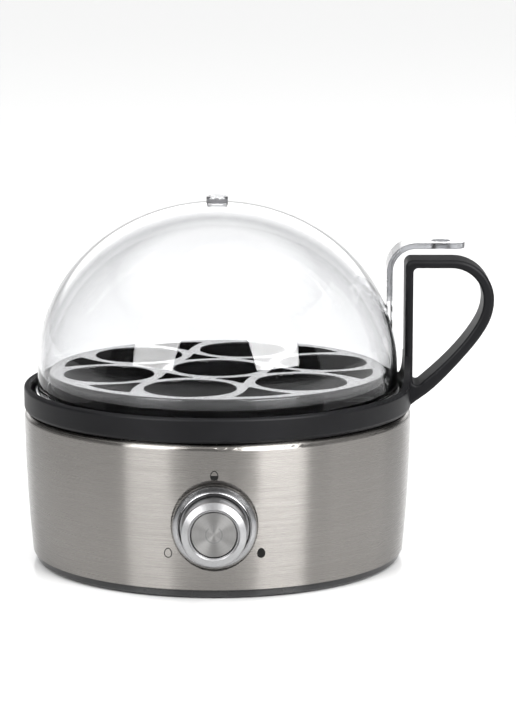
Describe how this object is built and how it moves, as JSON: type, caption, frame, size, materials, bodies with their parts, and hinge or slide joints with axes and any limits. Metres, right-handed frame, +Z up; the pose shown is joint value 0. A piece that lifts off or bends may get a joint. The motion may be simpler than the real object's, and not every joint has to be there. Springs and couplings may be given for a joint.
{
  "type": "egg cooker",
  "caption": "Round electric egg cooker: brushed steel base with front dial and push button, black lift-out carrier ring with loop handle, egg tray and clear dome lid.",
  "frame": {"origin": "where the cooker's vertical axis meets the worktop, at the centre of the foot ring's flat face", "axes": "+Z up, -Y towards the dial at the front, +X towards the carrier's handle"},
  "size_m": [0.2236, 0.1984, 0.1738],
  "materials": {
    "brushed_steel": "horizontally brushed",
    "black_plastic": "matt moulded",
    "black_rubber": "matt",
    "zinc_steel": "zinc plated",
    "grey_silicone": "soft silicone",
    "stainless_pan": "spun",
    "cast_aluminium": "cast",
    "element_tube": "oxidised",
    "sheet_aluminium": "bright sheet",
    "thermostat_body": "phenolic",
    "matt_black": "fine matt",
    "gloss_black": "polished",
    "clear_plastic": "clear, polished",
    "gunmetal": "dark metallised",
    "satin_silver": "satin metallised",
    "white_plastic": "moulded",
    "spun_metal": "radially spun",
    "circuit_board": "solder mask",
    "switch_black": "moulded",
    "brass_screws": "turned",
    "lead_sleeve": "silicone sleeve"
  },
  "bodies": {
    "base": {"housing_shell": "brushed_steel", "base_plate": "black_plastic", "foot_ring": "black_rubber", "tie_screws": "zinc_steel", "top_frame": "black_plastic", "pan_gasket": "grey_silicone", "heating_pan": "stainless_pan", "heat_spreader": "cast_aluminium", "heating_element": "element_tube", "heat_shield": "sheet_aluminium", "shield_nuts": "zinc_steel", "thermostat": "thermostat_body", "thermal_fuse": "thermostat_body", "fuse_strap": "zinc_steel", "knob_bezel": "gunmetal", "control_bracket": "white_plastic", "control_board": "circuit_board", "board_screws": "zinc_steel", "bezel_screws": "zinc_steel", "selector_switch": "switch_black", "push_switch": "switch_black", "buzzer": "switch_black", "power_relay": "switch_black", "terminal_block": "white_plastic", "block_screws": "brass_screws", "cord_gland": "black_rubber", "cord_clamp": "black_plastic", "clamp_screws": "zinc_steel", "internal_leads": "lead_sleeve"},
    "egg_carrier": {"egg_carrier": "matt_black"},
    "egg_tray": {"egg_tray": "gloss_black"},
    "lid": {"lid": "clear_plastic"},
    "dial": {"dial": "satin_silver", "dial_shaft": "white_plastic", "shaft_clip": "zinc_steel"},
    "power_button": {"power_button": "spun_metal", "button_plunger": "white_plastic", "button_spring": "zinc_steel"}
  },
  "joints": [
    {"name": "carrier_lift", "type": "slide", "parent": "base", "child": "egg_carrier", "axis": [0, 0, 1], "range_m": [0, 0.1]},
    {"name": "tray_lift", "type": "slide", "parent": "egg_carrier", "child": "egg_tray", "axis": [0, 0, 1], "range_m": [0, 0.08]},
    {"name": "lid_lift", "type": "slide", "parent": "egg_tray", "child": "lid", "axis": [0, 0, 1], "range_m": [0, 0.12]},
    {"name": "dial_turn", "type": "hinge", "parent": "base", "child": "dial", "pos_m": [0, -0.1, 0.034], "axis": [0, -1, 0], "range_deg": [-120, 120]},
    {"name": "button_press", "type": "slide", "parent": "base", "child": "power_button", "axis": [0, 1, 0], "range_m": [0, 0.0015], "stiffness_N_per_m": 400, "springref_m": -0.002, "deforming": ["button_spring"]}
  ]
}
